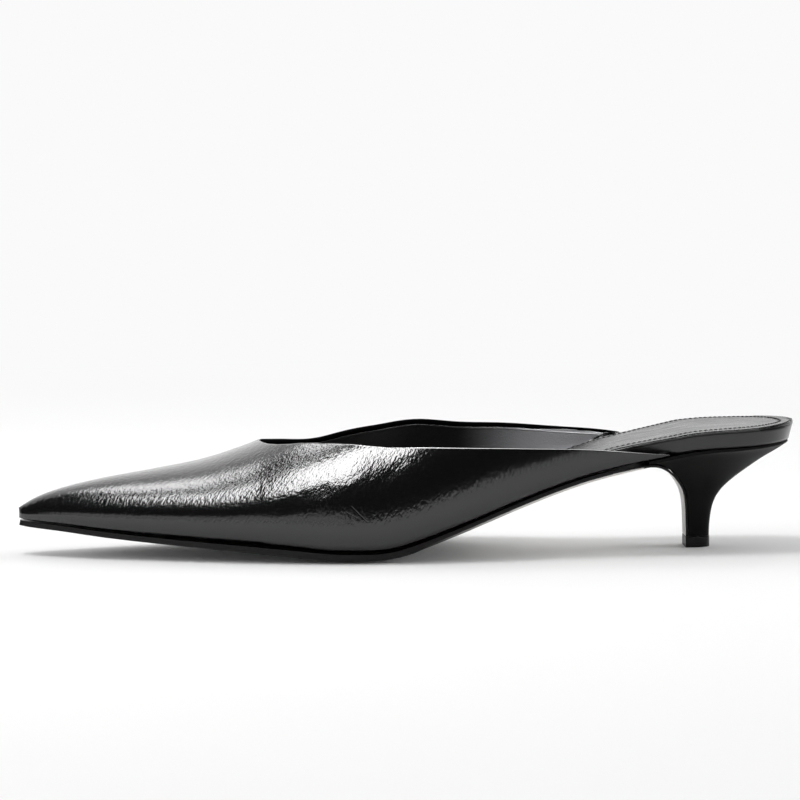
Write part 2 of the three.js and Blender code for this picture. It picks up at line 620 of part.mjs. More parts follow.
// Insole board: thin inside the vamp, thickened into the wrapped band at the seat.
// Its middle fills the space between the lasting margins, down to the deck
function insoleBoard() {
  const body = new Body();
  const start = toePuff + upperWall + 2 * fit;
  const widestFill = 0.7;
  const browShare = 0.3;
  const fill = (side, x, half) => {
    const foot = soleWidth(side, x) - featherTuck;
    const between = Math.max(foot - marginWidth, foot / 2) - 2 * fit;
    return Math.min(between, half * widestFill);
  };
  const loops = bedStations(start, 0).map(({ x, outer, inner, turn }) => {
    const overMargin = x <= upperLength + fit;
    const foot = deck(x) + fit;
    const rim = overMargin ? foot + fit + wallAt(x) : foot;
    const leanIn = bandLean * ease((x - spreadFrom) / (seatFront - spreadFrom));
    const footX = x - leanIn * Math.sin(turn ?? 0);
    const under = (side, half) => {
      const leaning = half - Math.min(leanIn * Math.cos(turn ?? 0), half / 3);
      return overMargin ? insideWall(side, x) : leaning;
    };
    // The brow is the height where the side starts to lean out, just over the tail's edge
    const brow = (side) => {
      const overTail = overMargin && x > spreadFrom ? topline(side, x) + fit : 0;
      return Math.max(overTail, mix(rim, bedTop(x), browShare));
    };
    const browHalf = (side, half) => {
      const foothold = under(side, half);
      return overMargin ? foothold : mix(foothold, half, browShare);
    };
    const browX = mix(footX, x, browShare);
    const outerFoot = under(sides.outer, outer);
    const innerFoot = under(sides.inner, inner);
    const outerFill = fill(sides.outer, x, outerFoot);
    const innerFill = fill(sides.inner, x, innerFoot);
    const bed = bedSection(x, outer, inner, -fit);
    const top = [[-outer, bedTop(x)], ...bed, [inner, bedTop(x)]];
    const below = [[-outerFoot, rim], [-outerFill - fit, rim], [-outerFill, (rim + foot) / 2],
      [-outerFill + fit, foot], [0, foot], [innerFill - fit, foot], [innerFill, (rim + foot) / 2],
      [innerFill + fit, rim], [innerFoot, rim]];
    const upperSide = top.map(([y, z]) => body.point(x, y, z));
    const underSide = below.map(([y, z]) => body.point(footX, y, z));
    const outerBrow = body.point(browX, -browHalf(sides.outer, outer), brow(sides.outer));
    const innerBrow = body.point(browX, browHalf(sides.inner, inner), brow(sides.inner));
    return [outerBrow, ...upperSide, innerBrow, ...underSide.reverse()];
  });
  for (let i = 0; i < loops.length - 1; i += 1) body.bridge(loops[i], loops[i + 1]);
  body.lid(loops[0], true);
  body.lid(loops[loops.length - 1], false);
  return body.mesh('insole_board', 0x161616, 0.35);
}

// Sock: a thin lining that covers the footbed just inside its edge
function sock() {
  const body = new Body();
  const loops = bedStations(sockStart, sockInset + fit).map(({ x, outer, inner }) => {
    const bed = bedSection(x, outer, inner, -sockInset);
    const under = bed.map(([y, z]) => body.point(x, y, z + fit));
    const over = bed.map(([y, z], i) => {
      const swell = Math.sqrt(1 - Math.abs(bedAcross[i]) ** 3);
      return body.point(x, y, z + fit + mix(sockEdge, sockThickness, swell));
    });
    return [...over, ...under.reverse()];
  });
  for (let i = 0; i < loops.length - 1; i += 1) body.bridge(loops[i], loops[i + 1]);
  body.lid(loops[0], true);
  body.lid(loops[loops.length - 1], false);
  return body.mesh('sock', 0x5a5a5a, 0.4);
}

// Top piece: the D-shaped wear tip under the heel and the end of the sole's tongue
function topPiece() {
  const front = tipFront - fit - tongueThickness;
  const outline = new THREE.Shape();
  const half = tipWidth / 2 + topPieceRim;
  const length = tipBack + topPieceRim - front;
  const turns = steps(-Math.PI / 2, Math.PI / 2, 24);
  turns.forEach((turn, i) => {
    const x = front + length * Math.max(Math.cos(turn), 0) ** tipRound;
    const y = half * Math.sign(Math.sin(turn)) * Math.abs(Math.sin(turn)) ** tipFull;
    if (i === 0) outline.moveTo(x, y);
    else outline.lineTo(x, y);
  });
  outline.closePath();
  const geometry = new THREE.ExtrudeGeometry(outline, { depth: topPieceHeight, bevelEnabled: false });
  const mesh = new THREE.Mesh(geometry, new THREE.MeshStandardMaterial({ color: 0x0e0e0e, roughness: 0.45 }));
  mesh.name = 'top_piece';
  return mesh;
}

const shoe = new THREE.Group();
shoe.add(upper(), insoleBoard(), sock(), outsole(), heel(), topPiece());

// The origin lies on the floor, under the middle of the shoe's length and width
const fullest = (name) => ballWidth * Math.max(...outlineRows.map((row) => row[name]));
shoe.position.x = -shoeLength / 2;
shoe.position.y = (fullest('outer') - fullest('inner')) / 2;

export default shoe;
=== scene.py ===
import math

import bpy
from mathutils import Matrix, Vector, kdtree


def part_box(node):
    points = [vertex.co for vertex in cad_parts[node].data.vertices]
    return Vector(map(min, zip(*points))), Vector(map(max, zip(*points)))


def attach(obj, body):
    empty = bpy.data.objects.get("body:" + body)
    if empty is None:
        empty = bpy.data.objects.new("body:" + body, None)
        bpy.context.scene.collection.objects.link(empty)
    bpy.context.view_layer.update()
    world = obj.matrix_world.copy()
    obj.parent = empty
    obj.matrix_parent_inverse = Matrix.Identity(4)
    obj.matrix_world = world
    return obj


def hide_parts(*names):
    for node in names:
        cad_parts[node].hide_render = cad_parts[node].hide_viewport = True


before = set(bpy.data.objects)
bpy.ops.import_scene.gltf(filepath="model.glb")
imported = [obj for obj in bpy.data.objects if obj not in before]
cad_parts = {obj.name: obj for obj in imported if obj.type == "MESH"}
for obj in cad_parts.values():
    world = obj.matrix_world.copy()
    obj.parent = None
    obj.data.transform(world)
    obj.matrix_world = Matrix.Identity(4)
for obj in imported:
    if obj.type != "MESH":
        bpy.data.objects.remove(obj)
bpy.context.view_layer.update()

mm = 0.001
sharpTurn = 50             # degrees: an edge that turns more than this is creased or bevelled
edgeSegments = 2           # a bevelled edge is this many faces wide
linePitch = 0.4 * mm       # spacing of the points that stand for a seam line
aboveAll = 200 * mm        # a height over the whole shoe, where the downward rays start


# Camera: a long lens from the outer side, a little above the shoe and turned towards the toe
shotOptions = {
    "distance": 1.5,
    "lookDown": 6.6,              # degrees
    "turn": 3.0,                  # degrees towards the toe
    "roll": 0.34,                 # degrees, the heel side up
    "aimHeight": 20 * mm,
    "aimPixel": (407.2, 491.0),   # where the aim point lies in the 800 x 800 picture
    "focalPixels": 4387.5,
    "pictureSize": 800,
    "sensor": 36,
    "clipEnd": 50,
}


def middleOf(node):
    low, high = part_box(node)
    return (low + high) / 2


def makeCamera(options):
    down, turn, roll = (math.radians(options[name]) for name in ("lookDown", "turn", "roll"))
    aim = Vector((0, middleOf("top_piece").y, options["aimHeight"]))
    back = Vector((-math.sin(turn) * math.cos(down), -math.cos(turn) * math.cos(down), math.sin(down)))
    right = Vector((0, 0, 1)).cross(back).normalized()
    up = back.cross(right)
    rolledRight = math.cos(roll) * right - math.sin(roll) * up
    rolledUp = math.sin(roll) * right + math.cos(roll) * up
    aside = options["pictureSize"] / 2 - options["aimPixel"][0]
    above = options["aimPixel"][1] - options["pictureSize"] / 2
    axis = (-options["focalPixels"] * back + aside * rolledRight + above * rolledUp).normalized()
    sideways = axis.cross(rolledUp).normalized()
    upwards = sideways.cross(axis)
    bpy.ops.object.camera_add(location=aim + options["distance"] * back)
    camera = bpy.context.object
    camera.name = "shotCamera"
    camera.rotation_euler = Matrix((sideways, upwards, -axis)).transposed().to_euler()
    camera.data.sensor_width = options["sensor"]
    camera.data.lens = options["focalPixels"] * options["sensor"] / options["pictureSize"]
    camera.data.clip_end = options["clipEnd"]
    bpy.context.scene.camera = camera


makeCamera(shotOptions)
print("camera placed")


# Small helpers for modelling
def onlySelect(piece):
    bpy.ops.object.select_all(action="DESELECT")
    piece.select_set(True)
    bpy.context.view_layer.objects.active = piece


# A solid comes as loose triangles, so its copy is welded and its flat pairs are joined to quads
copyOptions = {"weld": 0.002 * mm, "flatTurn": 60, "squareTurn": 130}


def copyOfNode(node, name):
    onlySelect(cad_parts[node])
    bpy.ops.object.duplicate()
    piece = bpy.context.object
    piece.name = name
    piece.data = piece.data.copy()
    piece.data.name = name
    for key in list(piece.keys()):
        del piece[key]
    piece.parent = None
    piece.data.materials.clear()
    bpy.ops.object.mode_set(mode="EDIT")
    bpy.ops.mesh.select_mode(type="FACE")
    bpy.ops.mesh.select_all(action="SELECT")
    bpy.ops.mesh.remove_doubles(threshold=copyOptions["weld"])
    bpy.ops.mesh.tris_convert_to_quads(face_threshold=math.radians(copyOptions["flatTurn"]),
                                       shape_threshold=math.radians(copyOptions["squareTurn"]))
    bpy.ops.object.mode_set(mode="OBJECT")
    return piece


def selectSharp(piece):
    onlySelect(piece)
    bpy.ops.object.mode_set(mode="EDIT")
    bpy.ops.mesh.select_mode(type="EDGE")
    bpy.ops.mesh.select_all(action="DESELECT")
    bpy.ops.mesh.edges_select_sharp(sharpness=math.radians(sharpTurn))


def creaseSharp(piece, value):
    selectSharp(piece)
    bpy.ops.transform.edge_crease(value=value)
    bpy.ops.object.mode_set(mode="OBJECT")


def bevelSharp(piece, width):
    selectSharp(piece)
    bpy.ops.mesh.bevel(offset=width, segments=edgeSegments, affect="EDGES", clamp_overlap=True)
    bpy.ops.object.mode_set(mode="OBJECT")


# The two normals at each edge of a piece
def edgeNormals(piece):
    normals = {}
    for face in piece.data.polygons:
        for key in face.edge_keys:
            normals.setdefault(key, []).append(face.normal.copy())
    return normals


def bevelWhere(piece, test, segments, **size):
    onlySelect(piece)
    normals = edgeNormals(piece)
    for face in piece.data.polygons:
        face.select = False
    for vertex in piece.data.vertices:
        vertex.select = False
    for edge in piece.data.edges:
        middle = sum((piece.data.vertices[index].co for index in edge.vertices), Vector()) / 2
        edge.select = test(middle, normals[edge.key])
    bpy.ops.object.mode_set(mode="EDIT")
    bpy.ops.mesh.select_mode(type="EDGE")
    bpy.ops.mesh.bevel(segments=segments, affect="EDGES", clamp_overlap=False, **size)
    bpy.ops.object.mode_set(mode="OBJECT")


def smoothOut(piece, levels):
    onlySelect(piece)
    bpy.ops.object.modifier_add(type="SUBSURF")
    surface = piece.modifiers[-1]
    surface.levels = levels
    surface.render_levels = levels
    bpy.ops.object.modifier_apply(modifier=surface.name)
    bpy.ops.object.shade_smooth()


def keepFaces(piece, test):
    onlySelect(piece)
    for face in piece.data.polygons:
        face.select = not test(face)
    bpy.ops.object.mode_set(mode="EDIT")
    bpy.ops.mesh.select_mode(type="FACE")
    bpy.ops.mesh.delete(type="FACE")
    bpy.ops.object.mode_set(mode="OBJECT")


# Height of the top of a piece, where a ray falls on it from above
def surfaceUnder(piece):
    def heightAt(x, y):
        struck, spot, _, _ = piece.ray_cast(Vector((x, y, aboveAll)), Vector((0, 0, -1)))
        return spot.z if struck else 0.0
    return heightAt


def resample(points, pitch, closed=True):
    loop = points + points[:1] if closed else points
    placed = []
    carry = 0.0
    for first, second in zip(loop, loop[1:]):
        length = (second - first).length
        while carry < length:
            placed.append(first.lerp(second, carry / length))
            carry += pitch
        carry -= length
    return placed


# The top edge of a node that was made of sections, down one side and back up the other
outlineOptions = {
    "sectionWidth": 0.02 * mm,    # points this near in x are one section
    "step": 0.05 * mm,
    "dip": 0.3 * mm,              # a section whose top lies this far too low is left out
    "rimDepth": 1.5 * mm,
}


def outlineOf(node, options=outlineOptions):
    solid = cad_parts[node]
    heightAt = surfaceUnder(solid)
    axis = middleOf("top_piece").y
    sections = {}
    for vertex in solid.data.vertices:
        sections.setdefault(round(vertex.co.x / options["sectionWidth"]), []).append(vertex.co.copy())
    outer, inner = [], []
    for key in sorted(sections):
        top = max(spot.z for spot in sections[key])
        if top < heightAt(sections[key][0].x - options["step"], axis) - options["dip"]:
            continue
        rim = [spot for spot in sections[key] if spot.z > top - options["rimDepth"]]
        outer.append(min(rim, key=lambda spot: (round(spot.y / options["step"]), -spot.z)))
        inner.append(max(rim, key=lambda spot: (round(spot.y / options["step"]), spot.z)))
    return outer + inner[::-1]


# Stores on each point how far it lies from a line, for the seam in its material
def measureReach(piece, line):
    tree = kdtree.KDTree(len(line))
    for index, spot in enumerate(line):
        tree.insert(spot, index)
    tree.balance()
    reach = piece.data.attributes.new("edgeReach", "FLOAT", "POINT")
    for vertex in piece.data.vertices:
        reach.data[vertex.index].value = tree.find(vertex.co)[2]


def finishPiece(piece, material, slot, *nodes):
    piece.data.materials.clear()
    piece.data.materials.append(material)
    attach(piece, "root")
    if nodes:
        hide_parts(*nodes)
    triangles = sum(len(face.vertices) - 2 for face in piece.data.polygons)
    print("piece", piece.name, triangles, "triangles")


# Materials: the colours are sRGB, the sizes of each pattern are real ones
def linear(code):
    shares = [int(code[i:i + 2], 16) / 255 for i in (1, 3, 5)]
    return [s / 12.92 if s <= 0.04045 else ((s + 0.055) / 1.055) ** 2.4 for s in shares] + [1]


def addNode(tree, kind, settings=None, links=None):
    node = tree.nodes.new(kind)
    for name, value in (settings or {}).items():
        if isinstance(name, int) or name in node.inputs.keys():
            node.inputs[name].default_value = value
        else:
            setattr(node, name, value)
    for name, socket in (links or {}).items():
        tree.links.new(socket, node.inputs[name])
    return node


def newMaterial(name):
    material = bpy.data.materials.new(name)
    material.use_nodes = True
    tree = material.node_tree
    tree.nodes.clear()
    return material, tree


# How far inside a soft groove between two points of the outer side a place lies, from 0 to 1
def grooveShare(tree, spot, row):
    start = Vector((row["fromX"], 0, row["fromZ"])) * mm
    run = Vector((row["toX"], 0, row["toZ"])) * mm - start
    away = addNode(tree, "ShaderNodeVectorMath", {"operation": "SUBTRACT", 1: start},
                   {0: spot}).outputs["Vector"]
    along = addNode(tree, "ShaderNodeVectorMath",
                    {"operation": "DOT_PRODUCT", 1: run / run.length_squared},
                    {0: away}).outputs["Value"]
    held = addNode(tree, "ShaderNodeClamp", links={"Value": along}).outputs["Result"]
    foot = addNode(tree, "ShaderNodeVectorMath", {"operation": "SCALE", 0: run},
                   {"Scale": held}).outputs["Vector"]
    reach = addNode(tree, "ShaderNodeVectorMath", {"operation": "DISTANCE"},
                    {0: away, 1: foot}).outputs["Value"]
    half = row["width"] * mm / 2
    return addNode(tree, "ShaderNodeMapRange",
                   {"interpolation_type": "SMOOTHSTEP", "From Min": half, "From Max": 0},
                   {"Value": reach}).outputs["Result"]


# The vamp is unrolled about a lengthways line, so that the wrinkles keep their width round the foot
def glazedLeather(name, options):
    material, tree = newMaterial(name)
    place = addNode(tree, "ShaderNodeTexCoord").outputs["Object"]
    split = addNode(tree, "ShaderNodeSeparateXYZ", links={"Vector": place}).outputs
    raised = addNode(tree, "ShaderNodeMath", {"operation": "SUBTRACT", 1: options["rollHeight"]},
                     {0: split["Z"]}).outputs[0]
    angle = addNode(tree, "ShaderNodeMath", {"operation": "ARCTAN2"},
                    {0: split["Y"], 1: raised}).outputs[0]
    section = addNode(tree, "ShaderNodeCombineXYZ",
                      links={"Y": split["Y"], "Z": raised}).outputs["Vector"]
    radius = addNode(tree, "ShaderNodeVectorMath", {"operation": "LENGTH"},
                     {0: section}).outputs["Value"]
    around = addNode(tree, "ShaderNodeMath", {"operation": "MULTIPLY"},
                     {0: angle, 1: radius}).outputs[0]
    unrolled = addNode(tree, "ShaderNodeCombineXYZ",
                       links={"X": split["X"], "Y": around}).outputs["Vector"]
    turned = addNode(tree, "ShaderNodeMapping",
                     {"Rotation": (0, 0, -math.radians(options["wrinkleTurn"]))},
                     {"Vector": unrolled}).outputs["Vector"]
    normal = None
    for layer in options["layers"]:
        squeezed = addNode(tree, "ShaderNodeMapping", {"Scale": (1 / layer["stretch"], 1, 1)},
                           {"Vector": turned}).outputs["Vector"]
        noise = addNode(tree, "ShaderNodeTexNoise",
                        {"Scale": 1 / layer["width"], "Detail": options["octaves"],
                         "Roughness": options["octaveShare"], "Distortion": options["waviness"]},
                        {"Vector": squeezed}).outputs["Fac"]
        links = {"Height": noise, "Normal": normal} if normal else {"Height": noise}
        normal = addNode(tree, "ShaderNodeBump", {"Distance": layer["height"]}, links).outputs["Normal"]
    flat = addNode(tree, "ShaderNodeCombineXYZ",
                   links={"X": split["X"], "Z": split["Z"]}).outputs["Vector"]
    for row in options["creases"]:
        share = grooveShare(tree, flat, row)
        normal = addNode(tree, "ShaderNodeBump",
                         {"Distance": abs(row["depth"]) * mm, "invert": row["depth"] > 0},
                         {"Height": share, "Normal": normal}).outputs["Normal"]
    reach = addNode(tree, "ShaderNodeAttribute", {"attribute_name": "edgeReach"}).outputs["Fac"]
    bare = {"From Min": options["paintedEdge"], "From Max": options["paintEnd"]}
    gloss, coat = (addNode(tree, "ShaderNodeMapRange", {**bare, "To Max": options[shine]},
                           {"Value": reach}).outputs["Result"] for shine in ("gloss", "coat"))
    skin = addNode(tree, "ShaderNodeBsdfPrincipled",
                   {"Base Color": linear(options["colour"]), "Roughness": options["roughness"],
                    "IOR": options["ior"], "Coat Roughness": options["coatRoughness"]},
                   {"Normal": normal, "Coat Normal": normal, "Specular IOR Level": gloss,
                    "Coat Weight": coat})
    addNode(tree, "ShaderNodeOutputMaterial", links={"Surface": skin.outputs["BSDF"]})
    return material


# Every other finish: a fine grain, and where the piece has them a stitched seam beside its edge,
# a colour that changes along the shoe, which is painted sheen or painted shade, and a gloss that is
# streaked as the grain is
finishDefaults = {
    "ior": 1.5,
    "gloss": 0.5,
    "coat": 0,
    "coatRoughness": 0.15,
    "stretch": (1, 1, 1),
    "octaves": 3,
    "streakRange": (0.3, 0.7),    # most of the grain's noise lies between these
}


def plainFinish(name, ownOptions):
    material, tree = newMaterial(name)
    options = {**finishDefaults, **ownOptions}
    colour, roughness, gloss = linear(options["colour"]), options["roughness"], options["gloss"]
    place = addNode(tree, "ShaderNodeTexCoord").outputs["Object"]
    laid = addNode(tree, "ShaderNodeMapping", {"Scale": options["stretch"]},
                   {"Vector": place}).outputs["Vector"]
    noise = addNode(tree, "ShaderNodeTexNoise",
                    {"Scale": 1 / options["grain"], "Detail": options["octaves"]},
                    {"Vector": laid}).outputs["Fac"]
    normal = addNode(tree, "ShaderNodeBump", {"Distance": options["height"]},
                     {"Height": noise}).outputs["Normal"]
    skin = addNode(tree, "ShaderNodeBsdfPrincipled",
                   {"Base Color": colour, "Roughness": roughness, "IOR": options["ior"],
                    "Coat Weight": options["coat"], "Coat Roughness": options["coatRoughness"],
                    "Specular IOR Level": gloss})
    # Painted light: the colour is blended along the shoe, as painted sheen on the lining and as painted
    # shade at the front of the bare sole
    if "paintedLightRamp" in options:
        paintedLightRamp = options["paintedLightRamp"]
        split = addNode(tree, "ShaderNodeSeparateXYZ", links={"Vector": place}).outputs
        far = addNode(tree, "ShaderNodeMapRange",
                      {"interpolation_type": "SMOOTHSTEP", "From Min": paintedLightRamp["fromX"],
                       "From Max": paintedLightRamp["toX"]},
                      {"Value": split["X"]}).outputs["Result"]
        blend = addNode(tree, "ShaderNodeMix",
                        {"data_type": "RGBA", 6: colour, 7: linear(paintedLightRamp["colour"])},
                        {0: far}).outputs[2]
        tree.links.new(blend, skin.inputs["Base Color"])
    if "streak" in options:
        least, most = options["streakRange"]
        dull = addNode(tree, "ShaderNodeMapRange",
                       {"From Min": least, "From Max": most, "To Min": roughness - options["streak"],
                        "To Max": roughness + options["streak"]},
                       {"Value": noise}).outputs["Result"]
        tree.links.new(dull, skin.inputs["Roughness"])
    if "seam" in options:
        seam = options["seam"]
        reach = addNode(tree, "ShaderNodeAttribute", {"attribute_name": "edgeReach"}).outputs["Fac"]
        aside = addNode(tree, "ShaderNodeMath", {"operation": "SUBTRACT", 1: seam["at"]},
                        {0: reach}).outputs[0]
        apart = addNode(tree, "ShaderNodeMath", {"operation": "ABSOLUTE"}, {0: aside}).outputs[0]
        half = seam["width"] / 2
        share = addNode(tree, "ShaderNodeMapRange",
                        {"interpolation_type": "SMOOTHSTEP", "From Min": half, "From Max": 0},
                        {"Value": apart}).outputs["Result"]
        normal = addNode(tree, "ShaderNodeBump",
                         {"Distance": abs(seam["depth"]), "invert": seam["depth"] > 0},
                         {"Height": share, "Normal": normal}).outputs["Normal"]
        shade = addNode(tree, "ShaderNodeMapRange", {"To Min": gloss, "To Max": seam["gloss"]},
                        {"Value": share}).outputs["Result"]
        tree.links.new(shade, skin.inputs["Specular IOR Level"])
    tree.links.new(normal, skin.inputs["Normal"])
    addNode(tree, "ShaderNodeOutputMaterial", links={"Surface": skin.outputs["BSDF"]})
    return material


# Upper: the leather shell, smoothed along its ribs, with its edges rounded as a folded edge is.
# Its glazed calf was plated wet so that the skin crinkled: near black, with a hard gloss that breaks up
# along the edges of each reflection into short wrinkles, which run round the vamp towards the instep.
# The finest crinkle is too small for the picture, so it is drawn a little wider than it is
upperOptions = {
    "edgeCrease": 0.45,
    "levels": 2,
    "colour": "#0a0a0b",
    "roughness": 0.16,
    "ior": 1.55,
    "gloss": 0.5,
    "coat": 0.35,
    "coatRoughness": 0.08,
    "paintedEdge": 1.2 * mm,      # the inner side's topline is painted black and stays dull
    "paintEnd": 1.56 * mm,        # from here on the glaze has its full gloss
    "rollHeight": 5 * mm,         # the vamp is unrolled about a line at this height
    "wrinkleTurn": 50,            # degrees from the length of the shoe
    "octaves": 1.0,
    "octaveShare": 0.5,
    "waviness": 0.4,
    "layers": [                   # widest first, each a number of times longer than it is wide
        {"width": 3.0 * mm, "stretch": 3.0, "height": 0.03 * mm},
        {"width": 1.1 * mm, "stretch": 1.6, "height": 0.09 * mm},
        {"width": 0.65 * mm, "stretch": 1.3, "height": 0.06 * mm},
    ],
    "creases": [                  # in mm, on the outer side: two scratches, soft troughs and a ridge
        {"fromX": -20.5, "fromZ": 19.5, "toX": -15.6, "toZ": 14.5, "width": 0.5, "depth": 0.05},
        {"fromX": -22.6, "fromZ": 17.8, "toX": -18.4, "toZ": 15.6, "width": 0.4, "depth": 0.03},
        {"fromX": -46.0, "fromZ": 17.5, "toX": -30.0, "toZ": 25.0, "width": 6.0, "depth": 0.08},
        {"fromX": -31.0, "fromZ": 20.0, "toX": -17.0, "toZ": 29.0, "width": 5.0, "depth": -0.05},
        {"fromX": -62.0, "fromZ": 19.0, "toX": -49.0, "toZ": 27.0, "width": 6.0, "depth": 0.06},
        {"fromX": -14.0, "fromZ": 24.0, "toX": -3.0, "toZ": 34.0, "width": 5.0, "depth": 0.06},
    ],
}

upper = copyOfNode("upper", "upperShell")
creaseSharp(upper, upperOptions["edgeCrease"])
smoothOut(upper, upperOptions["levels"])

# Lining: a thin skin on the inner face of the shell, that ends just under its folded edge. Dyed kid,
# matt and soft, with a lighter line where it is stitched down, and paler towards the tails as painted
# sheen
liningOptions = {
    "underEdge": 1.4 * mm,
    "thickness": 0.35 * mm,
    "axisHeight": 10 * mm,        # the inner face looks towards a line at this height over the footbed
    "facing": 0.35,               # least cosine of the angle between that face and that line
    "belowBed": 0.6 * mm,
    "endSetBack": 3 * mm,         # the lining stops this far before the ends of the tails
    "startX": -96 * mm,
    "edgeCrease": 0.8,
    "levels": 2,
    "colour": "#0c0c0d",
    "roughness": 0.42,
    "grain": 0.6 * mm,
    "height": 0.2 * mm,
    "seam": {"at": 0.6 * mm, "width": 0.7 * mm, "depth": -0.15 * mm, "gloss": 0.9},
    # painted sheen: the lining turns pale towards the tails, where the overhead light falls on the
    # inner wall
    "paintedLightRamp": {"fromX": 18 * mm, "toX": 52 * mm, "colour": "#cfcfd3"},
}


def makeLining(options):
    piece = copyOfNode("upper", "upperLining")
    axis = middleOf("top_piece").y
    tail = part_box("upper")[1].x - options["endSetBack"]
    bedAt = surfaceUnder(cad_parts["insole_board"])

    def isInner(face):
        centre = face.center
        bed = bedAt(centre.x, axis)
        inwards = Vector((0, axis - centre.y, bed + options["axisHeight"] - centre.z)).normalized()
        within = options["startX"] < centre.x < tail and centre.z > bed - options["belowBed"]
        return within and face.normal.dot(inwards) > options["facing"]

    keepFaces(piece, isInner)
    uses = {}
    for face in piece.data.polygons:
        for key in face.edge_keys:
            uses[key] = uses.get(key, 0) + 1
    onRim = {index for key, count in uses.items() if count == 1 for index in key}
    spots = [vertex.co.copy() for vertex in piece.data.vertices]
    lowered = set()
    for first, second in uses:
        for here, there in ((first, second), (second, first)):
            if here in onRim and there not in onRim and spots[there].z < spots[here].z:
                down = (spots[there] - spots[here]).normalized()
                piece.data.vertices[here].co = spots[here] + down * options["underEdge"]
                lowered.add(here)
    rim, innerTopline = [], []
    for first, second in uses:
        if first in lowered and second in lowered:
            ends = [piece.data.vertices[index].co.copy() for index in (first, second)]
            rim += resample(ends, linePitch, closed=False)
            if spots[first].y > axis:
                innerTopline += resample([spots[first], spots[second]], linePitch, closed=False)
    onlySelect(piece)
    bpy.ops.object.modifier_add(type="SOLIDIFY")
    skin = piece.modifiers[-1]
    skin.thickness = options["thickness"]
    skin.offset = 1
    bpy.ops.object.modifier_apply(modifier=skin.name)
    creaseSharp(piece, options["edgeCrease"])
    smoothOut(piece, options["levels"])
    measureReach(piece, rim)
    return piece, innerTopline


lining, innerTopline = makeLining(liningOptions)
measureReach(upper, innerTopline)
finishPiece(upper, glazedLeather("glazedCalf", upperOptions), "upper_leather", "upper")
finishPiece(lining, plainFinish("liningKid", liningOptions), "upper_leather")

# Outsole: black waxed edges with a low satin shine, rounded over below, where the waist and the tongue
# show bare vegetable-tanned leather, which is pale and dry; towards the ball it is darkened as painted
# shade near the floor
soleOptions = {
    "edge": 0.22 * mm,
    "roundedShare": 60,           # part of the edge's height, in per cent
    "roundedSegments": 3,
    "upright": 0.6,               # the share of a face's normal that makes it the sole's edge
    "downward": 0.5,
    "waistFrom": 4 * mm,
    "tongueFrom": 78 * mm,
    "paleBelow": 0.25,            # the share of a face's normal that makes it bare leather
    "paleBehind": 0.5,
    "levels": 2,
    "wax": {"colour": "#0b0b0b", "roughness": 0.32, "grain": 0.5 * mm, "height": 0.01 * mm,
            "gloss": 0.22},
    "bare": {"colour": "#0b0b0b", "roughness": 0.5, "grain": 0.6 * mm, "height": 0.01 * mm,
             # painted shade: the bare leather darkens towards the ball, where the sole comes down to
             # the floor
             "gloss": 0.3, "paintedLightRamp": {"fromX": 2 * mm, "toX": 45 * mm, "colour": "#cfcecb"}},
}


def isWaistEdge(middle, normals):
    upright, downward = soleOptions["upright"], soleOptions["downward"]
    beside = any(abs(normal.y) > upright for normal in normals)
    below = any((normal.z < -downward or normal.x < -downward) and abs(normal.y) < downward
                for normal in normals)
    return beside and below and soleOptions["waistFrom"] < middle.x


def isPale(face):
    if face.center.x < soleOptions["waistFrom"]:
        return False
    if face.center.x > soleOptions["tongueFrom"]:
        return face.normal.x < -soleOptions["paleBehind"]
    return face.normal.z < -soleOptions["paleBelow"]


outsole = copyOfNode("outsole", "outsoleEdge")
bevelWhere(outsole, isWaistEdge, soleOptions["roundedSegments"], offset_type="PERCENT",
           offset_pct=soleOptions["roundedShare"])
bevelSharp(outsole, soleOptions["edge"])
smoothOut(outsole, soleOptions["levels"])
finishPiece(outsole, plainFinish("waxedEdge", soleOptions["wax"]), "sole", "outsole")
outsole.data.materials.append(plainFinish("soleLeather", soleOptions["bare"]))
for face in outsole.data.polygons:
    face.material_index = 1 if isPale(face) else 0

# Footbed: the board under the sock, whose wrapped band has a rolled top edge. The band is smooth
# finished calf with a clear top coat, so it takes soft long reflections, and a dark line under its roll
bandOptions = {
    "rolledEdge": 0.65 * mm,
    "rollSegments": 4,
    "startX": -60 * mm,
    "seatCentre": 95 * mm,        # behind it the edge runs round this point
    "flatTop": 0.7,
    "facing": 0.6,                # least cosine between a face's normal and straight outwards
    "edgeCrease": 0.8,
    "levels": 1,
    "colour": "#0d0d0e",
    "roughness": 0.3,
    "grain": 0.9 * mm,
    "height": 0.015 * mm,
    "coat": 0.3,
    "seam": {"at": 1.1 * mm, "width": 0.8 * mm, "depth": 0.12 * mm, "gloss": 0.05},
}


def isBandEdge(middle, normals):
    centre = Vector((min(middle.x, bandOptions["seatCentre"]), middleOf("top_piece").y, middle.z))
    outwards = (middle - centre).normalized()
    above = any(normal.z > bandOptions["flatTop"] for normal in normals)
    beside = any(normal.dot(outwards) > bandOptions["facing"] for normal in normals)
    return above and beside and middle.x > bandOptions["startX"]


board = copyOfNode("insole_board", "seatBand")
bevelWhere(board, isBandEdge, bandOptions["rollSegments"], offset=bandOptions["rolledEdge"])
creaseSharp(board, bandOptions["edgeCrease"])
smoothOut(board, bandOptions["levels"])
measureReach(board, resample(outlineOf("insole_board"), linePitch))
finishPiece(board, plainFinish("bandCalf", bandOptions), "band_leather", "insole_board")

# Sock: polished kid over a thin foam, pulled down along its stitches, with faint streaks along the foot
sockOptions = {
    "levels": 2,
    "colour": "#101011",
    "roughness": 0.33,
    "grain": 1.1 * mm,
    "height": 0.09 * mm,
    "stretch": (0.1, 1, 0.1),
    "streak": 0.16,
    "seam": {"at": 3.2 * mm, "width": 2.2 * mm, "depth": 0.4 * mm, "gloss": 0.0},
}

sock = copyOfNode("sock", "sockLining")
smoothOut(sock, sockOptions["levels"])
sockOutline = outlineOf("sock")
measureReach(sock, resample(sockOutline, linePitch))
finishPiece(sock, plainFinish("sockKid", sockOptions), "sock_leather", "sock")

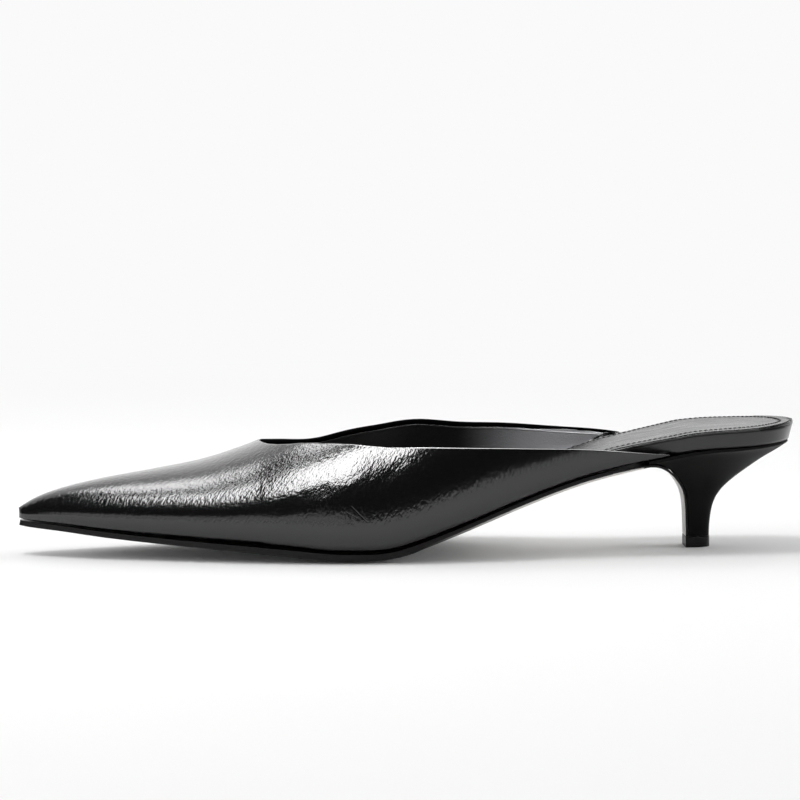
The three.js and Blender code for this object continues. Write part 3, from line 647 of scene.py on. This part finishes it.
# Stitches: one row round the sock, sunk in the groove beside its edge, in waxed black thread that
# stays dull beside the leather
stitchOptions = {
    "setIn": 3.2 * mm,
    "pitch": 1.8 * mm,
    "length": 1.35 * mm,
    "width": 0.65 * mm,
    "height": 0.55 * mm,
    "segments": 8,
    "rings": 6,
    "thread": {"colour": "#050505", "roughness": 0.6, "grain": 0.3 * mm, "height": 0.02 * mm,
               "gloss": 0.15},
}


def stitchRow(options):
    path = resample(sockOutline, options["pitch"])
    heightAt = surfaceUnder(sock)
    bpy.ops.mesh.primitive_cube_add(size=0.1 * mm)    # only opens an empty mesh to add the stitches to
    piece = bpy.context.object
    piece.name = "sockStitches"
    piece.data.name = "sockStitches"
    bpy.ops.object.transform_apply(location=True)
    bpy.ops.object.mode_set(mode="EDIT")
    bpy.ops.mesh.delete(type="VERT")
    for index, spot in enumerate(path):
        ahead = path[(index + 1) % len(path)] - path[index - 1]
        inwards = Vector((-ahead.y, ahead.x, 0)).normalized() * options["setIn"]
        x, y = spot.x + inwards.x, spot.y + inwards.y
        height = heightAt(x, y)
        if not height:
            continue
        bpy.ops.mesh.primitive_uv_sphere_add(
            segments=options["segments"], ring_count=options["rings"],
            radius=0.5,    # one unit across, so that its scale is the stitch's size
            location=(x, y, height),
            rotation=(0, -math.atan2(ahead.z, ahead.xy.length), math.atan2(ahead.y, ahead.x)),
            scale=(options["length"], options["width"], options["height"]))
    bpy.ops.object.mode_set(mode="OBJECT")
    bpy.ops.object.shade_smooth()
    return piece


stitches = stitchRow(stitchOptions)
finishPiece(stitches, plainFinish("threadBlack", stitchOptions["thread"]), "sock_leather")

# Heel: a block under a thin matt cover, whose faint upright grain keeps it from looking like plastic
heelOptions = {
    "edge": 0.25 * mm,
    "levels": 2,
    "colour": "#070707",
    "roughness": 0.55,
    "grain": 0.5 * mm,
    "height": 0.02 * mm,
    "stretch": (1, 1, 0.15),
    "gloss": 0.12,
}

heel = copyOfNode("heel", "heelBlock")
bevelSharp(heel, heelOptions["edge"])
smoothOut(heel, heelOptions["levels"])
finishPiece(heel, plainFinish("heelCover", heelOptions), "heel_cover", "heel")

# Wear tip: moulded polyurethane, a satin black with softened edges
tipOptions = {
    "edge": 0.25 * mm,
    "colour": "#080808",
    "roughness": 0.4,
    "grain": 0.4 * mm,
    "height": 0.01 * mm,
    "gloss": 0.3,
}

tip = copyOfNode("top_piece", "wearTip")
bevelSharp(tip, tipOptions["edge"])
finishPiece(tip, plainFinish("tipPlastic", tipOptions), "heel_tip", "top_piece")


# Studio: a pale floor that runs into a white wall, soft boxes overhead and a dark room in front
studioOptions = {
    "floorSize": 9.0,
    "floorColour": "#f4f4f4",
    "backdrop": 0.955,
    "haze": 0.01,                 # part of the near floor that glows, which lightens its shadows
    "nearFloor": 0.2,
    "farFloor": 0.75,
    "wallDistance": 2.5,
    "roomColour": "#ffffff",
    "roomGlow": 0.03,
}

# Sizes and places in metres. With glossy False a soft box lights the scene but has no reflection,
# and with diffuse False it only shows as a reflection. One without an aim faces straight down
lightRows = [
    {"name": "overheadKey", "size": (0.3, 0.3), "place": (-0.30, 0, 1.0),
     "power": 3.8, "glossy": False},
    {"name": "overheadSheen", "size": (0.47, 1.0), "place": (-0.32, -0.35, 1.0), "turn": -11,
     "power": 25, "diffuse": False},
    {"name": "overheadVeil", "size": (0.51, 0.5), "place": (-0.19, 0.38, 1.0),
     "power": 6.5, "diffuse": False},
    {"name": "heelSheen", "size": (0.8, 1.2), "place": (0.38, 0.35, 1.1),
     "power": 36, "diffuse": False},
    {"name": "fillAbove", "size": (4.0, 4.0), "place": (0, 0, 2.2),
     "power": 23, "glossy": False},
    {"name": "toeSide", "size": (2.0, 1.2), "place": (-2.4, 0, 0.65), "aim": (0, 0, 0),
     "power": 54, "glossy": False},
    {"name": "heelSide", "size": (2.0, 1.2), "place": (2.4, 0, 0.65), "aim": (0, 0, 0),
     "power": 48, "glossy": False},
    {"name": "lowCard", "size": (2.6, 0.45), "place": (-1.4, -2.0, 0.25), "aim": (-0.4, 0, 0.1),
     "power": 3.5, "diffuse": False},
    {"name": "backCard", "size": (3.0, 1.6), "place": (0, 2.3, 0.85), "aim": (0, 0, 0.1),
     "power": 4, "diffuse": False},
]


# The floor is lit near the shoe, and far from it glows as evenly as the wall does
def makeStudio(options):
    bpy.ops.mesh.primitive_plane_add(size=options["floorSize"], location=(0, 0, 0))
    floor = bpy.context.object
    floor.name = "paleFloor"
    material, tree = newMaterial("paleFloor")
    place = addNode(tree, "ShaderNodeTexCoord").outputs["Object"]
    reach = addNode(tree, "ShaderNodeVectorMath", {"operation": "LENGTH"}, {0: place}).outputs["Value"]
    share = addNode(tree, "ShaderNodeMapRange",
                    {"interpolation_type": "SMOOTHSTEP", "From Min": options["nearFloor"],
                     "From Max": options["farFloor"], "To Min": options["haze"]},
                    {"Value": reach}).outputs["Result"]
    lit = addNode(tree, "ShaderNodeBsdfDiffuse",
                  {"Color": linear(options["floorColour"])}).outputs["BSDF"]
    glow = addNode(tree, "ShaderNodeEmission", {"Strength": options["backdrop"]}).outputs["Emission"]
    blend = addNode(tree, "ShaderNodeMixShader", links={0: share, 1: lit, 2: glow}).outputs["Shader"]
    addNode(tree, "ShaderNodeOutputMaterial", links={"Surface": blend})
    floor.data.materials.append(material)
    bpy.ops.mesh.primitive_plane_add(size=options["floorSize"], rotation=(math.radians(90), 0, 0),
                                     location=(0, options["wallDistance"], 0))
    wall = bpy.context.object
    wall.name = "whiteWall"
    material, tree = newMaterial("whiteWall")
    glow = addNode(tree, "ShaderNodeEmission", {"Strength": options["backdrop"]}).outputs["Emission"]
    addNode(tree, "ShaderNodeOutputMaterial", links={"Surface": glow})
    wall.data.materials.append(material)
    world = bpy.data.worlds.new("darkRoom")
    bpy.context.scene.world = world
    world.use_nodes = True
    room = world.node_tree.nodes["Background"].inputs
    room["Color"].default_value = linear(options["roomColour"])
    room["Strength"].default_value = options["roomGlow"]


def softLight(row):
    bpy.ops.object.light_add(type="AREA", location=row["place"])
    light = bpy.context.object
    light.name = row["name"]
    light.data.shape = "RECTANGLE"
    light.data.size, light.data.size_y = row["size"]
    light.data.energy = row["power"]
    light.rotation_euler.z = math.radians(row.get("turn", 0))
    if "aim" in row:
        away = Vector(row["place"]) - Vector(row["aim"])
        light.rotation_euler = away.to_track_quat("Z", "Y").to_euler()
    light.visible_camera = False
    light.visible_glossy = row.get("glossy", True)
    light.visible_diffuse = row.get("diffuse", True)


makeStudio(studioOptions)
for row in lightRows:
    softLight(row)
bpy.context.scene.view_settings.view_transform = "Standard"
print("studio made")
